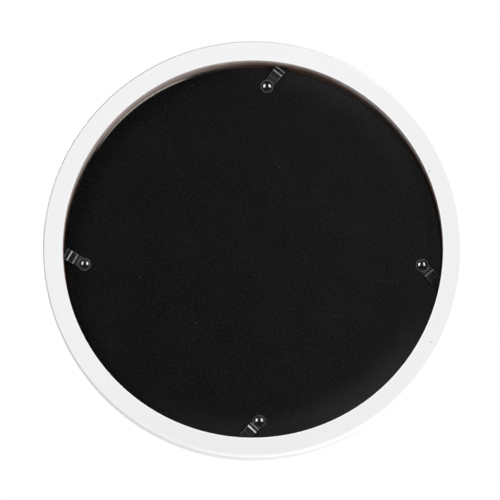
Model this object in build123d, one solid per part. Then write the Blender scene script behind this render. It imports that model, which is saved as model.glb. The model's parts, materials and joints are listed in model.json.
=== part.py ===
# Round photo frame for a wall: a painted ring with a rebate in its back, the layers that lie in the
# rebate, and four turn clips on rivets that hold the backing board in.
#
# Millimetres, +Z up. The picture side faces -Y and the back faces +Y. The origin is the centre of the
# ring, halfway through its depth. The model is drawn as seen from behind, with x to the viewer's right,
# y up and z towards the viewer, and is turned into the frame above as it is written. Left and right in
# the names are the viewer's, and angles run anticlockwise from the viewer's right.
import os
from math import cos, radians, sin

from build123d import *

# Ring
outer_diameter = 300.0
ring_depth = 28.0
back_face_width = 14.15
lip_width = 8.85
lip_thickness = 3.2
outer_front_radius = 3.0
outer_back_radius = 1.5
sight_front_radius = 1.5
rebate_back_radius = 0.4

# Room that the groove in the rebate's wall leaves round the clip tips
groove_floor_gap = 0.25
groove_front_gap = 0.4
groove_back_gap = 0.3

# Layers in the rebate, from the picture side, each with its gap to the wall all round when centred, and
# the direction in which it has slid from there. All but the mat have slid to the wall.
seat_gap = 0.08
glass_thickness = 2.0
glass_gap = 2.5
glass_lean = 270.0
glass_seam = 0.25
mat_thickness = 1.2
mat_gap = 4.7
mat_slide = 0.8
mat_lean = 270.0
mat_border = 28.0
sheet_thickness = 0.3
sheet_gap = 10.0
sheet_lean = 127.0
board_thickness = 2.3
board_gap = 1.2
board_lean = 281.0
board_edge_radius = 0.3

# Turn clip, drawn from its rivet outwards along its length
clip_thickness = 0.8
clip_width = 7.8
eye_shoulder = 0.7
eye_flat_length = 4.4
neck_rise_length = 0.9
neck_length = 1.7
bridge_rise_length = 1.15
bridge_length = 3.65
bridge_fall_length = 1.15
step_length = 2.25
step_fall_length = 0.7
tip_length = 4.1
neck_height = 0.45
bridge_height = 1.55
step_height = 0.65
tip_height = 0.35
bend_radius = 0.45
tip_corner_radius = 1.5
neck_corner_radius = 1.2
clip_edge_radius = 0.18

# Rivet
rivet_to_wall = 14.35
shank_diameter = 3.2
head_diameter = 6.8
head_height = 1.35
head_rim_height = 0.35
tail_diameter = 5.2
tail_thickness = 0.7
tail_dimple_diameter = 2.0
tail_dimple_depth = 0.9
turning_gap = 0.05
clip_play = 0.05
tail_gap = 0.1

# Angle of each rivet about the board, and how far its clip is turned clockwise from pointing straight out
clips = {
    "top": (85.3, 33.4),
    "left": (183.8, 33.6),
    "right": (355.7, 45.0),
    "bottom": (272.0, 44.9),
}

quarter_turn = 90.0
overrun = 2.0

front = -ring_depth / 2
back = ring_depth / 2
glass_front = front + lip_thickness
mat_front = glass_front + glass_thickness
sheet_front = mat_front + mat_thickness
board_front = sheet_front + sheet_thickness
board_back = board_front + board_thickness
outer_radius = outer_diameter / 2
rebate_radius = outer_radius - back_face_width
sight_radius = rebate_radius - lip_width
eye_radius = clip_width / 2 + eye_shoulder


def polar(radius, angle):
    return Vector(radius * cos(radians(angle)), radius * sin(radians(angle)))


def at_wall(gap, angle):
    """Where the centre of a layer is when it has slid to the wall and only the seat gap is left."""
    return polar(gap - seat_gap, angle)


def revolved(points, rounded=()):
    """A solid of revolution about z from (radius, z) points, with some of its corners rounded."""
    section = make_face(Polyline(*points, close=True))
    for corner, radius in rounded:
        vertex = section.vertices().sort_by_distance(corner)[0]
        section = fillet(vertex, radius)
    return revolve(Rot(X=90) * section, axis=Axis.Z)


def layer(gap, thickness, bottom, centre):
    disc = Cylinder(rebate_radius - gap, thickness, align=(Align.CENTER, Align.CENTER, Align.MIN))
    return Pos(centre.X, centre.Y, bottom) * disc


def rivet_spot(angle):
    return at_wall(board_gap, board_lean) + polar(rebate_radius - rivet_to_wall, angle)


def clip_stations():
    """Distance from the rivet and height over the board of the bends in the clip's underside."""
    runs = [
        (eye_flat_length, 0),
        (neck_rise_length, neck_height),
        (neck_length, neck_height),
        (bridge_rise_length, bridge_height),
        (bridge_length, bridge_height),
        (bridge_fall_length, step_height),
        (step_length, step_height),
        (step_fall_length, tip_height),
    ]
    reach = 0
    stations = []
    for run, height in runs:
        reach += run
        stations.append((reach, height))
    return stations


def farthest_tip():
    """How far from the ring's centre the rounded corners of the clip tips reach."""
    corner_reach = clip_stations()[-1][0] + tip_length - tip_corner_radius
    corner_side = clip_width / 2 - tip_corner_radius
    farthest = 0
    for rivet_angle, turned_in in clips.values():
        along = polar(corner_reach, rivet_angle - turned_in)
        across = polar(corner_side, rivet_angle - turned_in + quarter_turn)
        for side in (-1, 1):
            corner = rivet_spot(rivet_angle) + along + across * side
            farthest = max(farthest, corner.length + tip_corner_radius)
    return farthest


def frame_ring():
    groove_radius = farthest_tip() + groove_floor_gap
    groove_front = board_back + clip_play + tip_height - groove_front_gap
    groove_back = board_back + clip_play + step_height + clip_thickness + groove_back_gap
    points = [
        (sight_radius, front),
        (outer_radius, front),
        (outer_radius, back),
        (rebate_radius, back),
        (rebate_radius, groove_back),
        (groove_radius, groove_back),
        (groove_radius, groove_front),
        (rebate_radius, groove_front),
        (rebate_radius, glass_front),
        (sight_radius, glass_front),
    ]
    rounded = [
        ((sight_radius, front), sight_front_radius),
        ((outer_radius, front), outer_front_radius),
        ((outer_radius, back), outer_back_radius),
        ((rebate_radius, back), rebate_back_radius),
    ]
    return revolved(points, rounded)


def glass_pane():
    """A disc whose sharp cut edges are seamed."""
    pane = layer(glass_gap, glass_thickness, glass_front, at_wall(glass_gap, glass_lean))
    return chamfer(pane.edges().filter_by(GeomType.CIRCLE), glass_seam)


def mat_ring():
    """A card ring whose round window is bevelled at 45 degrees, wider on the picture side."""
    window_radius = sight_radius - mat_border
    mat_radius = rebate_radius - mat_gap
    points = [
        (window_radius + mat_thickness, mat_front),
        (mat_radius, mat_front),
        (mat_radius, sheet_front),
        (window_radius, sheet_front),
    ]
    centre = polar(mat_slide, mat_lean)
    return Pos(centre.X, centre.Y) * revolved(points)


def insert_sheet():
    return layer(sheet_gap, sheet_thickness, sheet_front, at_wall(sheet_gap, sheet_lean))


def rivet_place(angle):
    """Where a rivet's axis meets the board's back face."""
    spot = rivet_spot(angle)
    return Pos(spot.X, spot.Y, board_back)


def backing_board():
    """A disc with a hole for each rivet, wider at the front where the rolled tail lies flush."""
    board = layer(board_gap, board_thickness, board_front, at_wall(board_gap, board_lean))
    back_edge = board.edges().filter_by(GeomType.CIRCLE).sort_by(Axis.Z)[-1]
    board = fillet(back_edge, board_edge_radius)
    hole = Cylinder(shank_diameter / 2, 2 * board_thickness)
    recess = Cylinder(
        tail_diameter / 2 + tail_gap,
        tail_thickness + overrun,
        align=(Align.CENTER, Align.CENTER, Align.MAX),
    )
    for rivet_angle, _ in clips.values():
        board -= rivet_place(rivet_angle) * hole
        board -= rivet_place(rivet_angle) * Pos(Z=tail_thickness - board_thickness) * recess
    return board


def clip_outline(reach):
    """The flat blank: a round eye with its hole, and a strip with a rounded tip."""
    eye = Circle(eye_radius)
    strip = Pos(reach / 2, 0) * Rectangle(reach, clip_width)
    blank = eye + strip
    tip_corners = blank.vertices().group_by(Axis.X)[-1]
    blank = fillet(tip_corners, tip_corner_radius)
    neck_along = (eye_radius**2 - (clip_width / 2) ** 2) ** 0.5
    neck_corners = [
        blank.vertices().sort_by_distance((neck_along, side * clip_width / 2))[0] for side in (-1, 1)
    ]
    blank = fillet(neck_corners, neck_corner_radius)
    return blank - Circle(shank_diameter / 2 + turning_gap)


def clip():
    """The blank bent over its length, with its eye on the board and its edges eased by tumbling."""
    stations = clip_stations()
    reach = stations[-1][0] + tip_length
    lift = clip_play + clip_thickness / 2
    middle = [(-eye_radius - overrun, lift)]
    middle += [(along, height + lift) for along, height in stations]
    middle += [(reach + overrun, tip_height + lift)]
    bent_line = FilletPolyline(*middle, radius=bend_radius + clip_thickness / 2)
    section = trace(bent_line, clip_thickness)
    bent_strip = extrude(Rot(X=90) * section, amount=eye_radius + overrun, both=True)
    outline = clip_outline(reach)
    tall = bridge_height + clip_thickness + overrun
    bent = extrude(outline, amount=tall) & bent_strip
    rim = outline.face().outer_wire()
    eased = []
    for edge in bent.edges():
        middle_point = edge @ 0.5
        on_rim = rim.distance_to(Vector(middle_point.X, middle_point.Y)) < clip_edge_radius / 10
        upright = abs((edge % 0.5).Z) > 0.99
        if on_rim and not upright:
            eased.append(edge)
    return fillet(eased, clip_edge_radius)


def rivet():
    """A dome head over the clip's eye, a shank through the board, and a rolled tail with a dimple."""
    head_bottom = clip_thickness + 2 * clip_play
    head_top = head_bottom + head_height
    rim_top = head_bottom + head_rim_height
    head_radius = head_diameter / 2
    shank_radius = shank_diameter / 2
    tail_radius = tail_diameter / 2
    tail_bottom = -board_thickness
    tail_top = tail_bottom + tail_thickness
    dome_rise = head_top - rim_top
    dome_radius = (head_radius**2 + dome_rise**2) / (2 * dome_rise)
    outline = Polyline(
        (0, head_top),
        (0, tail_bottom + tail_dimple_depth),
        (tail_dimple_diameter / 2, tail_bottom),
        (tail_radius, tail_bottom),
        (tail_radius, tail_top),
        (shank_radius, tail_top),
        (shank_radius, head_bottom),
        (head_radius, head_bottom),
        (head_radius, rim_top),
    )
    dome = RadiusArc((head_radius, rim_top), (0, head_top), -dome_radius)
    section = make_face(outline + dome)
    return revolve(Rot(X=90) * section, axis=Axis.Z)


def place_clip(rivet_angle, turned_in):
    return rivet_place(rivet_angle) * Rot(Z=rivet_angle - turned_in)


pieces = {
    "frame_ring": frame_ring(),
    "glass_pane": glass_pane(),
    "mat_ring": mat_ring(),
    "insert_sheet": insert_sheet(),
    "backing_board": backing_board(),
}
one_clip = clip()
one_rivet = rivet()
for name, (rivet_angle, turned_in) in clips.items():
    pieces[f"clip_{name}"] = place_clip(rivet_angle, turned_in) * one_clip
    pieces[f"rivet_{name}"] = rivet_place(rivet_angle) * one_rivet

seen_from_behind = Plane(origin=(0, 0, 0), x_dir=(-1, 0, 0), z_dir=(0, 1, 0))
os.makedirs("parts", exist_ok=True)
for name, piece in pieces.items():
    export_step(seen_from_behind.location * piece, f"parts/{name}.step")
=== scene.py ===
import json
from math import cos, pi, radians, sin

import bpy
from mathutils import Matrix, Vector

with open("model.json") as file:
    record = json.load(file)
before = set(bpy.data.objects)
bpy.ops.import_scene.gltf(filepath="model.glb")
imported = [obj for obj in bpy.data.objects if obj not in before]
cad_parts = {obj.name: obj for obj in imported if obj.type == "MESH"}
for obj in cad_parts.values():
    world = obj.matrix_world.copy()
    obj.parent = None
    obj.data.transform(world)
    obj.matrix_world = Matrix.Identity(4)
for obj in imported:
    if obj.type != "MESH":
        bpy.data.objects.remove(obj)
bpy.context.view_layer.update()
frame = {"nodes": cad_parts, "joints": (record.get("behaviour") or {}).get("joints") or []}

# Camera
# The frame hangs with its back to a long lens. The lens is 3.5 m away, almost half a metre
# lower than the frame's centre, and looks up at it.
camera_distance = 3.5
camera_azimuth = radians(180.66)
camera_elevation = radians(-7.5)
photo_width = 500
focal_pixels = 4882
ring_centre_pixel = (252.9, 250.6)
sensor_width = 36.0

towards_camera = Vector((
    sin(camera_azimuth) * cos(camera_elevation),
    -cos(camera_azimuth) * cos(camera_elevation),
    sin(camera_elevation),
))
turn = towards_camera.to_track_quat("Z", "Y")
pixel = camera_distance / focal_pixels
off_centre = turn @ Vector((
    (photo_width / 2 - ring_centre_pixel[0]) * pixel,
    (ring_centre_pixel[1] - photo_width / 2) * pixel,
    0,
))
camera_data = bpy.data.cameras.new("camera")
camera_data.sensor_width = sensor_width
camera_data.lens = focal_pixels / photo_width * sensor_width
camera = bpy.data.objects.new("camera", camera_data)
camera.location = towards_camera * camera_distance + off_centre
camera.rotation_euler = turn.to_euler()
bpy.context.scene.collection.objects.link(camera)
bpy.context.scene.camera = camera
bpy.context.scene.view_settings.view_transform = "Standard"

# Room
# A white studio, with soft lamps on one side, above and below, and tall soft boxes that only
# gloss picks up. A black flag on the other side leaves that edge of the ring grey, and a black
# card behind the camera keeps the black parts' gloss dark.
pure_white = (1, 1, 1, 1)
pure_black = (0, 0, 0, 1)
air_light = 0.46
floor_height = -5.0
floor_size = 40
floor_paint = (0.9, 0.9, 0.9, 1)
floor_glow = 0.42

# Each lamp's direction from the frame and its radiance
lamps = {
    "key": ((-0.66, 0.68, -0.30), 6.4),
    "top": ((0.1, 0.6, 0.8), 1.5),
    "front_key": ((-0.62, -0.71, 0.33), 3.6),
    "front_top": ((0.0, -0.65, 0.75), 1.6),
    "under": ((0.15, -0.3, -0.93), 3.1),
}
lamp_distance = 4.0
lamp_size = (2.3, 2.3)
box_directions = {
    "back_left": (0.57, 0.77, 0.29),
    "back_right": (-0.57, 0.77, 0.29),
    "front_left": (-0.57, -0.77, 0.29),
    "front_right": (0.57, -0.77, 0.29),
}
box_distance = 1.5
box_size = (0.6, 0.95)
box_radiance = 26
card_size = 12
card_place = (0, 4.5, 0)
card_turn = (radians(90), 0, 0)
flag_size = 3.2
flag_direction = (0.87, -0.12, 0.5)
flag_distance = 1.6


class Shade:
    """A value or colour among a material's nodes. Arithmetic on it adds Math nodes."""

    def __init__(self, tree, socket=None):
        self.tree = tree
        self.socket = socket

    def node(self, kind, inputs=(), output=0, stops=(), **settings):
        """Adds a node: its settings and ramp stops first, and then what goes into its sockets."""
        made = self.tree.nodes.new(kind)
        for name, value in settings.items():
            setattr(made, name, value)
        for index, (place, colour) in enumerate(stops):
            elements = made.color_ramp.elements
            stop = elements[index] if index < len(elements) else elements.new(place)
            stop.position = place
            stop.color = colour
        for name, value in dict(inputs).items():
            if isinstance(value, Shade):
                self.tree.links.new(value.socket, made.inputs[name])
            else:
                made.inputs[name].default_value = value
        return Shade(self.tree, made.outputs[output])

    def out(self, name):
        """Another output of the node that this one comes from."""
        return Shade(self.tree, self.socket.node.outputs[name])

    def maths(self, operation, *others):
        return self.node("ShaderNodeMath", enumerate((self, *others)), operation=operation)

    def __add__(self, other):
        return self.maths("ADD", other)

    def __sub__(self, other):
        return self.maths("SUBTRACT", other)

    def __mul__(self, other):
        return self.maths("MULTIPLY", other)

    def __truediv__(self, other):
        return self.maths("DIVIDE", other)

    def __rsub__(self, other):
        return self.node("ShaderNodeMath", {0: other, 1: self}, operation="SUBTRACT")

    def __rtruediv__(self, other):
        return self.node("ShaderNodeMath", {0: other, 1: self}, operation="DIVIDE")

    __radd__ = __add__
    __rmul__ = __mul__


def seen_itself(shade):
    """1 where the camera, gloss or glass sees a thing, and 0 where the thing only gives light."""
    ray = shade.node("ShaderNodeLightPath", output="Is Camera Ray")
    in_gloss_or_glass = ray.out("Is Glossy Ray").maths("MAXIMUM", ray.out("Is Transmission Ray"))
    return ray.maths("MAXIMUM", in_gloss_or_glass)


world = bpy.data.worlds.new("studio")
world.use_nodes = True
bpy.context.scene.world = world
background = world.node_tree.nodes["Background"]
background.inputs["Color"].default_value = pure_white
air_strength = air_light + seen_itself(Shade(world.node_tree)) * (1 - air_light)
world.node_tree.links.new(air_strength.socket, background.inputs["Strength"])


def plane(name, size, location, rotation=(0, 0, 0)):
    """A square plane, added with nothing else selected."""
    for thing in bpy.context.selected_objects:
        thing.select_set(False)
    bpy.ops.mesh.primitive_plane_add(size=size, location=location, rotation=rotation)
    made = bpy.context.object
    made.name = name
    return made


def new_material(name):
    """A new material, the Shade to build its nodes on, and its Principled shader."""
    material = bpy.data.materials.new(name)
    material.use_nodes = True
    tree = material.node_tree
    return material, Shade(tree), tree.nodes["Principled BSDF"]


def feed(shader, **inputs):
    """Sets or links a shader's sockets, whose names are given with _ for the spaces."""
    for name, value in inputs.items():
        socket = shader.inputs[name.replace("_", " ")]
        if isinstance(value, Shade):
            value.tree.links.new(value.socket, socket)
        else:
            socket.default_value = value


def show(surface):
    """Makes a mix of shaders its material's surface."""
    surface.tree.links.new(surface.socket, surface.tree.nodes["Material Output"].inputs["Surface"])


floor = plane("floor", floor_size, (0, 0, floor_height))
material, shade, shader = new_material("floor")
feed(shader, Base_Color=floor_paint, Roughness=0.9, Specular_IOR_Level=0.0)
painted = Shade(shade.tree, shader.outputs["BSDF"])
glow = shade.node("ShaderNodeEmission", {"Color": pure_white, "Strength": floor_glow})
lit = shade.node("ShaderNodeAddShader", {0: painted, 1: glow})
pale = shade.node("ShaderNodeMixShader", {0: seen_itself(shade), 1: painted, 2: lit})
from_below = shade.node("ShaderNodeNewGeometry", output="Backfacing")
clear = shade.node("ShaderNodeBsdfTransparent")
show(shade.node("ShaderNodeMixShader", {0: from_below, 1: pale, 2: clear}))
floor.data.materials.append(material)

card = plane("black_card", card_size, card_place, card_turn)
flag_away = Vector(flag_direction).normalized()
flag_turn = flag_away.to_track_quat("Z", "Y").to_euler()
flag = plane("black_flag", flag_size, flag_away * flag_distance, flag_turn)
material, shade, shader = new_material("black_cloth")
feed(shader, Base_Color=pure_black, Roughness=1.0, Specular_IOR_Level=0.0)
for cloth in (card, flag):
    cloth.data.materials.append(material)
    cloth.visible_camera = False
    cloth.visible_transmission = False
    cloth.visible_shadow = False
    cloth.visible_diffuse = cloth == flag


def soft_box(name, direction, distance, size, radiance):
    """An area light that faces the frame from the direction given."""
    light = bpy.data.lights.new(name, "AREA")
    light.shape = "RECTANGLE"
    light.size, light.size_y = size
    light.energy = radiance * pi * size[0] * size[1]
    box = bpy.data.objects.new(name, light)
    away = Vector(direction).normalized()
    box.location = away * distance
    box.rotation_euler = away.to_track_quat("Z", "Y").to_euler()
    box.visible_camera = False
    bpy.context.scene.collection.objects.link(box)
    return box


for name, (direction, radiance) in lamps.items():
    lamp = soft_box(name, direction, lamp_distance, lamp_size, radiance)
    lamp.visible_glossy = False
for name, direction in box_directions.items():
    glint = soft_box(f"glint_{name}", direction, box_distance, box_size, box_radiance)
    glint.visible_diffuse = False

# Ring
# One ring of fibreboard, turned, rebated from behind and sprayed satin white. Painted highlights
# run along both edges of the back face, and painted light whitens the back towards the upper left.
# The rebate's wall is raw brown board under overspray, which thins towards the glass; painted
# shade darkens it towards the board, and painted light lifts it at the upper left and upper right.
# A chip is out of it at the top.
millimetre = 0.001
rebate_radius = 135.85 * millimetre
shelf = -10.8 * millimetre
ring_back = 14.0 * millimetre
raw_skin = 0.1 * millimetre
groove_middle = -4.1 * millimetre
groove_half_width = 1.0 * millimetre
groove_depth = 8 * millimetre

overspray_bottom = -5.3 * millimetre
overspray_height = 20 * millimetre
overspray_drift = 7 * millimetre
# Painted light, partly heavier overspray: how much higher the wall reads as sprayed at the upper
# left and upper right
more_at_upper_left, more_at_upper_right = 1.5 * millimetre, 6.5 * millimetre
# Wall colours from the board up to the face: overspray, with painted shade making the lowest part
# darker than raw board
overspray_and_shade = [
    (0.0, (0.105, 0.062, 0.042, 1)),
    (0.3, (0.19, 0.125, 0.098, 1)),
    (0.55, (0.37, 0.27, 0.235, 1)),
    (0.78, (0.66, 0.56, 0.525, 1)),
    (0.95, (0.85, 0.83, 0.82, 1)),
]
even_overspray_and_light = (0.43, 0.36, 0.34, 1)
dark_fibre = (0.06, 0.035, 0.022, 1)
chip_height = 5.5 * millimetre
chip_rim, chip_rim_radius = (0.33, 0.12, 0.09, 1), 1.1 * millimetre
chip_core, chip_core_radius = (0.9, 0.8, 0.74, 1), 0.6 * millimetre

paint_grey, paint_white = (0.868, 0.868, 0.874, 1), (0.934, 0.934, 0.942, 1)
light_reach = 140 * millimetre
# Painted highlight: a lighter band along both edges of the back face
highlight_white = (0.96, 0.96, 0.963, 1)
inner_highlight_width = 0.9 * millimetre
outer_highlight_radius = 148.2 * millimetre
highlight_depth = 1.5 * millimetre
mark_grey = (0.52, 0.52, 0.52, 1)

# Each mark's x, z, width and height, in millimetres
marks = [(-126.6, 55.2, 1.2, 1.6), (-127.0, -67.9, 2.0, 1.0)]


def fade(value, start, end):
    """0 where the value is at start, 1 where it is at end, and smooth between."""
    inputs = {"Value": value, "From Min": start, "From Max": end}
    return value.node("ShaderNodeMapRange", inputs, interpolation_type="SMOOTHSTEP")


def over(mask, under, top):
    """The colour top laid over the colour under, where the mask is 1."""
    return mask.node("ShaderNodeMix", {0: mask, 6: under, 7: top}, output=2, data_type="RGBA")


def noise(place, size, detail=2.0, roughness=0.5):
    """Noise with spots of about the given size in millimetres."""
    inputs = {
        "Vector": place,
        "Scale": 1 / (size * millimetre),
        "Detail": detail,
        "Roughness": roughness,
    }
    return place.node("ShaderNodeTexNoise", inputs, output="Fac")


def bump(relief, height, strength):
    """A normal from a relief of 0 to 1, where 1 stands the height in millimetres proud."""
    inputs = {"Height": relief, "Distance": height * millimetre, "Strength": strength}
    return relief.node("ShaderNodeBump", inputs, output="Normal")


def object_place(shade):
    return shade.node("ShaderNodeTexCoord", output="Object")


def parts_of(place):
    """The x, y and z of a place."""
    apart = place.node("ShaderNodeSeparateXYZ", {"Vector": place})
    return apart, apart.out("Y"), apart.out("Z")


def distance(across, up):
    return (across * across + up * up).maths("SQRT")


def bearing(x, z):
    """The angle round the back, anticlockwise from the right."""
    return z.maths("ARCTAN2", x * -1)


def around(angle, middle, none, full):
    """0 at none degrees from the middle of a stretch of the ring, 1 at full degrees from it."""
    off = (angle - radians(middle)).maths("ABSOLUTE")
    return fade(off, radians(none), radians(full))


def dress(name, material):
    """Gives a CAD node its finish."""
    for slot in frame["nodes"][name].material_slots:
        slot.material = material


material, shade, shader = new_material("ring_paint_and_raw_board")
place = object_place(shade)
x, y, z = parts_of(place)
radius = distance(x, z)
angle = bearing(x, z)

wall = fade(radius, rebate_radius + 3 * raw_skin, rebate_radius + raw_skin)
above_shelf = fade(y, shelf - 0.03 * millimetre, shelf - 0.01 * millimetre)
from_groove = (y - groove_middle).maths("ABSOLUTE")
groove = fade(from_groove, groove_half_width + 0.02 * millimetre, groove_half_width)
groove_floor = rebate_radius + groove_depth
groove = groove * fade(radius, groove_floor + 1 * millimetre, groove_floor)
raw = (wall * above_shelf).maths("MAXIMUM", groove)

# Painted light: the wall at the upper left and upper right is made lighter, partly as heavier
# overspray
upper_left = around(angle, 130, none=45, full=15)
upper_right = around(angle, 45, none=28, full=8)
drift = (noise(place, 9, detail=3) - 0.5) * overspray_drift
overspray_and_light_lift = upper_left * more_at_upper_left + upper_right * more_at_upper_right
height = (y + drift + overspray_and_light_lift - overspray_bottom) / overspray_height
fibres = noise(place, 0.9, detail=3, roughness=0.6)
raw_board = height.node("ShaderNodeValToRGB", {"Fac": height}, stops=overspray_and_shade)
raw_board = over(upper_left * 0.6, raw_board, even_overspray_and_light)
raw_board = over(fade(fibres, 0.55, 0.75) * 0.35, raw_board, dark_fibre)
from_chip = distance(x, y - chip_height)
at_top = fade(z, 0, 100 * millimetre)
rim = fade(from_chip, chip_rim_radius + 0.4 * millimetre, chip_rim_radius) * at_top
core = fade(from_chip, chip_core_radius + 0.35 * millimetre, chip_core_radius)
raw_board = over(rim, raw_board, chip_rim)
raw_board = over(rim * core, raw_board, chip_core)

# Painted light: the back face whitens towards the upper left, mixed with random mottle
light_towards_upper_left = fade(x * 0.75 + z * 0.65, -light_reach, light_reach)
mottle_and_light = noise(place, 60) * 0.4 + light_towards_upper_left * 0.6
paint = over(fade(mottle_and_light, 0.2, 0.8), paint_grey, paint_white)
on_back = fade(y, 0, ring_back)
for mark_x, mark_z, wide, high in marks:
    off_x = (x - mark_x * millimetre) / (wide * millimetre)
    off_z = (z - mark_z * millimetre) / (high * millimetre)
    paint = over(fade(distance(off_x, off_z), 0.55, 0.35) * on_back, paint, mark_grey)
# Painted highlight: lighter bands along the inner and outer edges of the back face
inner_highlight_radius = rebate_radius + inner_highlight_width
inner_highlight = fade(radius, inner_highlight_radius + 0.4 * millimetre, inner_highlight_radius)
outer_highlight = fade(radius, outer_highlight_radius - 0.3 * millimetre, outer_highlight_radius)
highlight_bottom = ring_back - highlight_depth
edge_highlight = inner_highlight.maths("MAXIMUM", outer_highlight)
edge_highlight = edge_highlight * fade(y, highlight_bottom - 0.1 * millimetre, highlight_bottom)
paint = over(edge_highlight, paint, highlight_white)
orange_peel = noise(place, 2.2)
feed(
    shader,
    Base_Color=over(raw, paint, raw_board),
    Roughness=0.55 + raw * 0.3,
    Specular_IOR_Level=0.2,
    Normal=bump(over(raw, orange_peel, fibres), height=0.02, strength=0.6),
)
dress("frame_ring", material)

# Backing board
# A round of thin black board, smooth, faintly speckled and a little dusty, with painted sheen that
# greys it along its edge, most at the lower right, and lightens it towards the right. It is
# slightly smaller than the rebate, and lies in it on the layers below.
sheen_left, sheen_right = 90 * millimetre, -130 * millimetre
deep_black, soft_black = (0.0012, 0.0012, 0.0014, 1), (0.0056, 0.0055, 0.0057, 1)
left_speckle, right_speckle = (0.0116, 0.0116, 0.0118, 1), (0.0145, 0.0144, 0.0146, 1)
edge_sheen_grey = (0.075, 0.075, 0.0765, 1)
edge_sheen_from, edge_sheen_to = 100 * millimetre, 138 * millimetre
dust_grey = (0.12, 0.12, 0.12, 1)

material, shade, shader = new_material("black_backing_board")
place = object_place(shade)
x, y, z = parts_of(place)
angle = bearing(x, z)
# Painted sheen: the board greys along its edge, most at the lower right
near_edge = fade(distance(x, z), edge_sheen_from, edge_sheen_to)
most_sides = around(angle, -10, none=125, full=60)
lower_right = around(angle, -50, none=35, full=6)
edge_sheen = (most_sides * 0.45 + lower_right * 0.55) * near_edge * near_edge * near_edge
speckle = noise(place, 1.3, roughness=0.6)
cloud = noise(place, 30, detail=3)
# Painted sheen: the board's black and its speckle lighten towards the right
sheen_towards_right = fade(x, sheen_left, sheen_right)
black = over(fade(cloud, 0.3, 0.75) * 0.4 + sheen_towards_right * 0.6, deep_black, soft_black)
grey = over(sheen_towards_right, left_speckle, right_speckle)
board = over(fade(speckle, 0.42, 0.66) * 0.6, black, grey)
board = over(edge_sheen * (fade(speckle, 0.25, 0.75) * 0.4 + 0.6), board, edge_sheen_grey)
dust = fade(noise(place, 2.5, detail=1), 0.79, 0.81)
feed(
    shader,
    Base_Color=over(dust, board, dust_grey),
    Roughness=0.55 + speckle * 0.2,
    Specular_IOR_Level=0.02,
    Normal=bump(speckle, height=0.02, strength=0.4),
)
dress("backing_board", material)

# Turn clips
# Four strips of spring steel, punched, bent and blackened, with an eye that turns on a rivet.
# The black has rubbed thin along their edges, and their bends carry painted highlights, partly
# worn steel, set clip by clip for how each faces the lamps.
clip_directions = {"top": 51.9, "left": 150.2, "right": 310.7, "bottom": 227.1}
pivots = {joint["child"]: joint["pos_m"] for joint in frame["joints"]}
steel_black, steel_grey = (0.005, 0.005, 0.0055, 1), (0.011, 0.0105, 0.011, 1)
bare_and_lit_steel = (0.85, 0.87, 0.89, 1)

# Millimetres along the clip from its rivet, or from its middle line to its edge
eye_radius = 4.6
half_width = 3.9
strip_start, strip_end = 6.9, 16.0
rubbed_width = 0.35
bends = {"neck": (4.6, 5.2), "rise": (7.1, 8.0), "fall": (11.8, 12.75), "step": (15.1, 15.8)}

# How far the black is rubbed off, from 0 to 1; on the bends this is mostly painted highlight
edge_wear = 0.09
eye_wear = 0.08
# Painted highlights on the bends, stronger where a bend faces a lamp
bend_highlight_and_wear = {
    "top": {"neck": 0.02, "rise": 0.05, "fall": 0.42, "step": 0.28},
    "left": {"neck": 0.02, "rise": 0.18, "fall": 1.0, "step": 0.12},
    "right": {"neck": 0.02, "rise": 0.24, "fall": 0.08, "step": 0.02},
    "bottom": {"neck": 0.12, "rise": 1.0, "fall": 0.08, "step": 0.02},
}


def between(value, low, high, soft=0.15):
    """1 from low to high, in millimetres, and fading to 0 over soft outside them."""
    low, high, soft = low * millimetre, high * millimetre, soft * millimetre
    return fade(value, low - soft, low) * fade(value, high + soft, high)


for name, direction in clip_directions.items():
    material, shade, shader = new_material(f"blackened_steel_{name}")
    mapping = {
        "Vector": object_place(shade),
        "Location": pivots[f"{name}_clip"],
        "Rotation": (0, pi + radians(direction), 0),
    }
    place = shade.node("ShaderNodeMapping", mapping, vector_type="TEXTURE")
    along, up, across = parts_of(place)
    grain = noise(place, 0.5, detail=3, roughness=0.6)
    blotch = noise(place, 2.5)
    black = over(fade(blotch, 0.35, 0.7), steel_black, steel_grey)
    aside = across.maths("ABSOLUTE")
    long_edges = between(aside, half_width - rubbed_width, half_width + 1)
    wear_and_highlight = between(along, strip_start, strip_end, soft=0.3) * long_edges * edge_wear
    eye_edge = between(distance(along, across), eye_radius - rubbed_width, eye_radius + 0.1)
    wear_and_highlight = wear_and_highlight.maths("MAXIMUM", eye_edge * eye_wear)
    for bend, (start, end) in bends.items():
        wear_and_highlight = wear_and_highlight.maths("MAXIMUM", between(along, start, end) * bend_highlight_and_wear[name][bend])
    wear_and_highlight = wear_and_highlight * (0.7 + blotch * 0.6)
    feed(
        shader,
        Base_Color=over(wear_and_highlight, black, bare_and_lit_steel),
        Roughness=0.35 + grain * 0.1,
        Specular_IOR_Level=0.12,
        Normal=bump(grain, height=0.01, strength=0.4),
    )
    dress(f"clip_{name}", material)

# Rivets
# Four dome-head rivets of enamelled steel that go through the clips' eyes and the board, with
# their tails rolled over inside it.
enamel_black, enamel_grey = (0.008, 0.008, 0.0085, 1), (0.012, 0.012, 0.0125, 1)

material, shade, shader = new_material("gloss_black_enamel")
ripple = noise(object_place(shade), 1.2)
feed(
    shader,
    Base_Color=over(fade(ripple, 0.3, 0.7), enamel_black, enamel_grey),
    Roughness=0.12 + ripple * 0.1,
    Normal=bump(ripple, height=0.01, strength=0.3),
)
for name in clip_directions:
    dress(f"rivet_{name}", material)

# Glass
# A clear round pane of 2 mm float glass behind the ring's front lip. Light goes straight
# through it, so that the card behind it stays as light as under real glass.
glass_tint = (0.985, 0.992, 0.989, 1)
glass_shadow = (0.93, 0.94, 0.935, 1)

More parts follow.
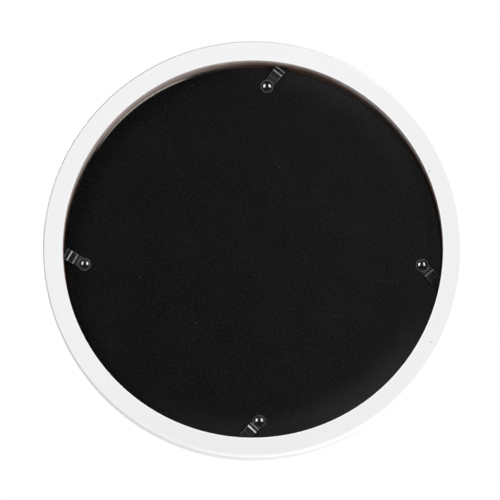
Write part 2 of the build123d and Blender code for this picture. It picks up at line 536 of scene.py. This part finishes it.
material, shade, shader = new_material("clear_glass")
feed(shader, Base_Color=glass_tint, Roughness=0.02, IOR=1.5, Transmission_Weight=1.0)
pane = Shade(shade.tree, shader.outputs["BSDF"])
ray = shade.node("ShaderNodeLightPath", output="Is Shadow Ray")
only_light = ray.maths("MAXIMUM", ray.out("Is Diffuse Ray"))
clear = shade.node("ShaderNodeBsdfTransparent", {"Color": glass_shadow})
show(shade.node("ShaderNodeMixShader", {0: only_light, 1: pane, 2: clear}))
dress("glass_pane", material)

# Mat
# A ring of white mat card under the glass. Its round window is cut with a bevel, so that the
# card's core shows all round the picture.
card_shade, card_white = (0.80, 0.79, 0.765, 1), (0.86, 0.85, 0.825, 1)

material, shade, shader = new_material("mat_card")
tooth = noise(object_place(shade), 0.7, detail=4, roughness=0.65)
feed(
    shader,
    Base_Color=over(fade(tooth, 0.3, 0.75), card_shade, card_white),
    Roughness=0.8 + tooth * 0.15,
    Normal=bump(tooth, height=0.03, strength=0.5),
)
dress("mat_ring", material)

# Insert
# A round of plain paper where the picture goes, left bare. Its back is painted black as shade up
# to the trimmed edge, and in the gap at the upper left that edge is a painted lit cream rim.
insert_x, insert_z = 5.970 * millimetre, 7.922 * millimetre
insert_radius = 125.85 * millimetre
insert_back = -7.3 * millimetre
lit_edge_width = 0.7 * millimetre
paper_shade, paper_white = (0.75, 0.74, 0.72, 1), (0.81, 0.80, 0.78, 1)
lit_edge_cream = (0.97, 0.91, 0.8, 1)
shade_black = (0.006, 0.006, 0.006, 1)

material, shade, shader = new_material("insert_paper")
place = object_place(shade)
pulp = noise(place, 1.1, detail=4, roughness=0.6)
x, y, z = parts_of(place)
x, z = x - insert_x, z - insert_z
lit_edge_from = insert_radius - lit_edge_width
# Painted shade: the back is black; painted light: the cream rim in the gap at the upper left
shaded_back = fade(distance(x, z), lit_edge_from, lit_edge_from - 0.1 * millimetre)
shaded_back = shaded_back.maths("MAXIMUM", around(bearing(x, z), 128, none=14, full=22))
on_back = fade(y, insert_back - 0.1 * millimetre, insert_back - 0.05 * millimetre)
paper = over(fade(pulp, 0.3, 0.75), paper_shade, paper_white)
paper = over(1 - shaded_back, paper, lit_edge_cream)
feed(
    shader,
    Base_Color=over(shaded_back * on_back, paper, shade_black),
    Roughness=0.85,
    Normal=bump(pulp, height=0.02, strength=0.4),
)
dress("insert_sheet", material)
